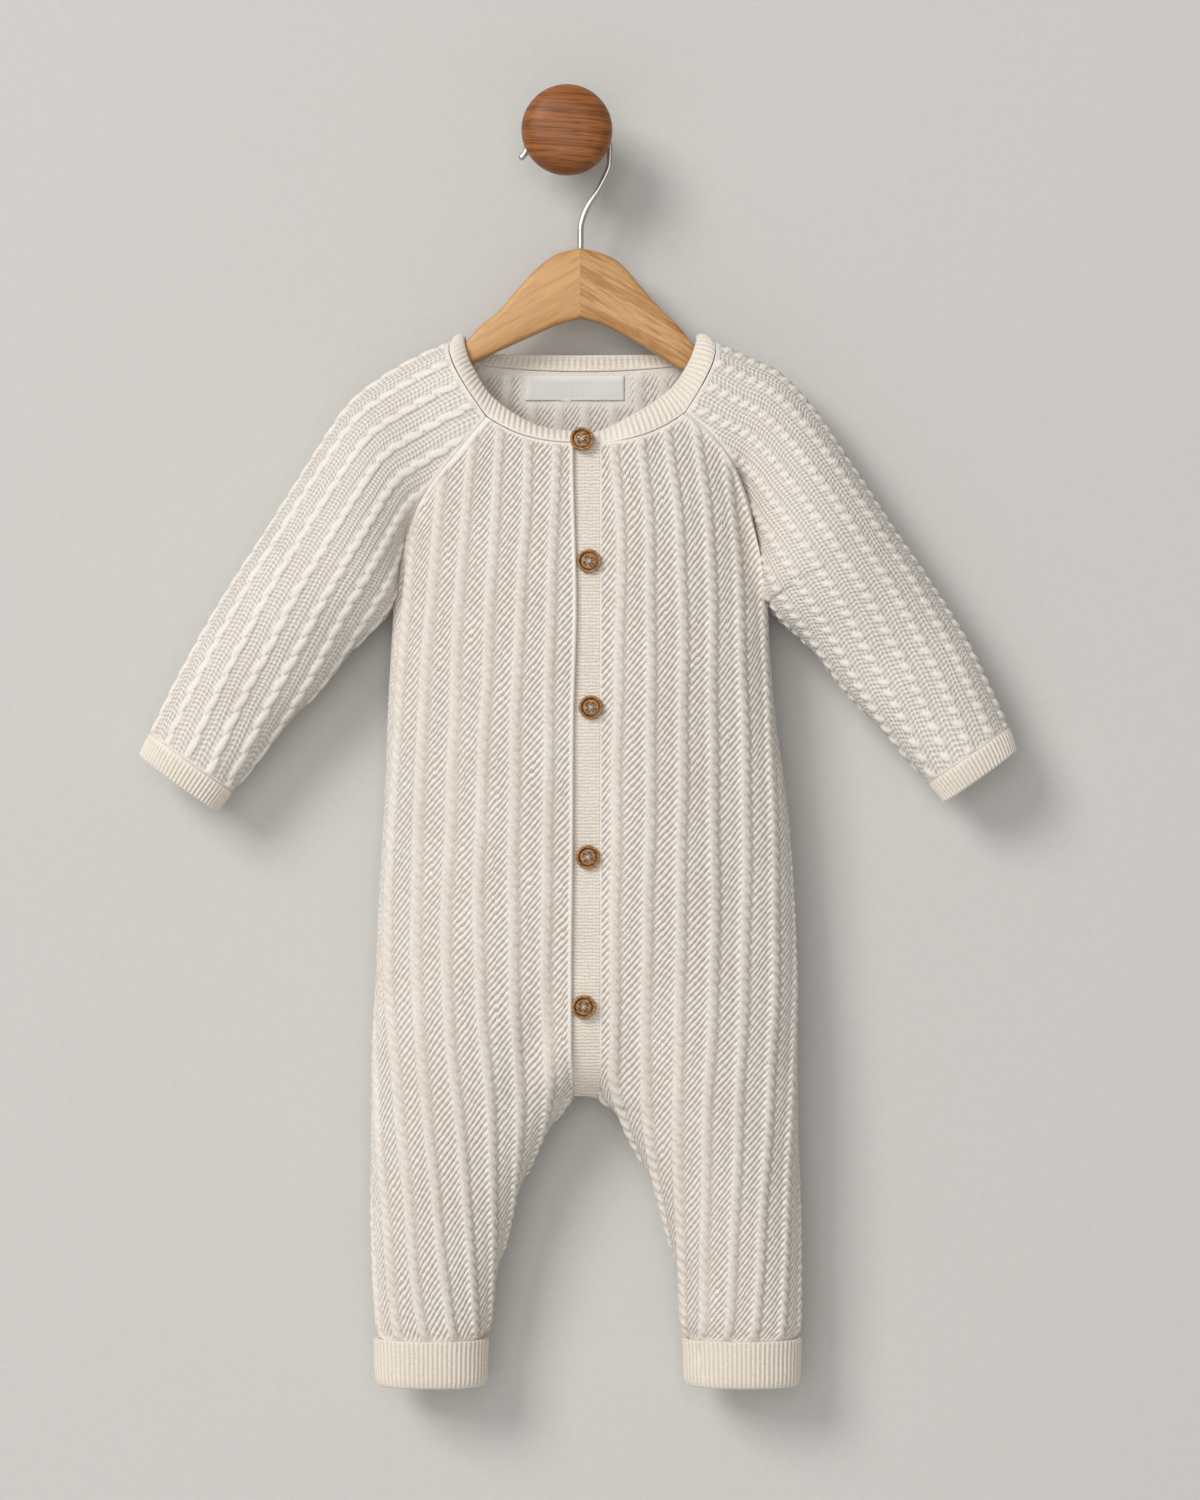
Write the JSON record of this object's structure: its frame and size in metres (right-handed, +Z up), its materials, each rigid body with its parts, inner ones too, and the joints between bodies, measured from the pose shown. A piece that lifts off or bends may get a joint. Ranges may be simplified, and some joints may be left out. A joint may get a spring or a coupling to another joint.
{
  "type": "baby romper on hanger and wall knob",
  "caption": "Knitted long-sleeved baby romper with a buttoned front, turned-up rib cuffs and raglan sleeves, on a small wooden hanger hooked over a round wall knob.",
  "frame": {"origin": "centre of the knob's back face, where it meets the wall", "axes": "+Z up, +Y into the wall along the knob's axis, +X to the viewer's right"},
  "size_m": [0.4211, 0.0625, 0.623],
  "materials": {
    "cable_knit": "soft matt cotton knit",
    "plain_knit": "fine matt plain knit",
    "rib_knit": "matt rib knit",
    "label_tape": "smooth woven tape",
    "hanger_wood": "light wood, thin matt lacquer",
    "knob_wood": "turned wood, satin oil",
    "button_wood": "turned wood, satin",
    "hook_wire": "bright plated steel wire"
  },
  "bodies": {
    "root": {"wall_knob": "knob_wood", "hanger_hook": "hook_wire", "hanger_half_left": "hanger_wood", "hanger_half_right": "hanger_wood", "back": "cable_knit", "front_left": "cable_knit", "front_right": "cable_knit", "sleeve_left": "cable_knit", "sleeve_right": "cable_knit", "button_band": "plain_knit", "neckband": "rib_knit", "sleeve_cuff_left": "rib_knit", "sleeve_cuff_right": "rib_knit", "leg_cuff_left": "rib_knit", "leg_cuff_right": "rib_knit", "neck_label": "label_tape", "button_1": "button_wood", "button_2": "button_wood", "button_3": "button_wood", "button_4": "button_wood", "button_5": "button_wood"}
  },
  "joints": []
}
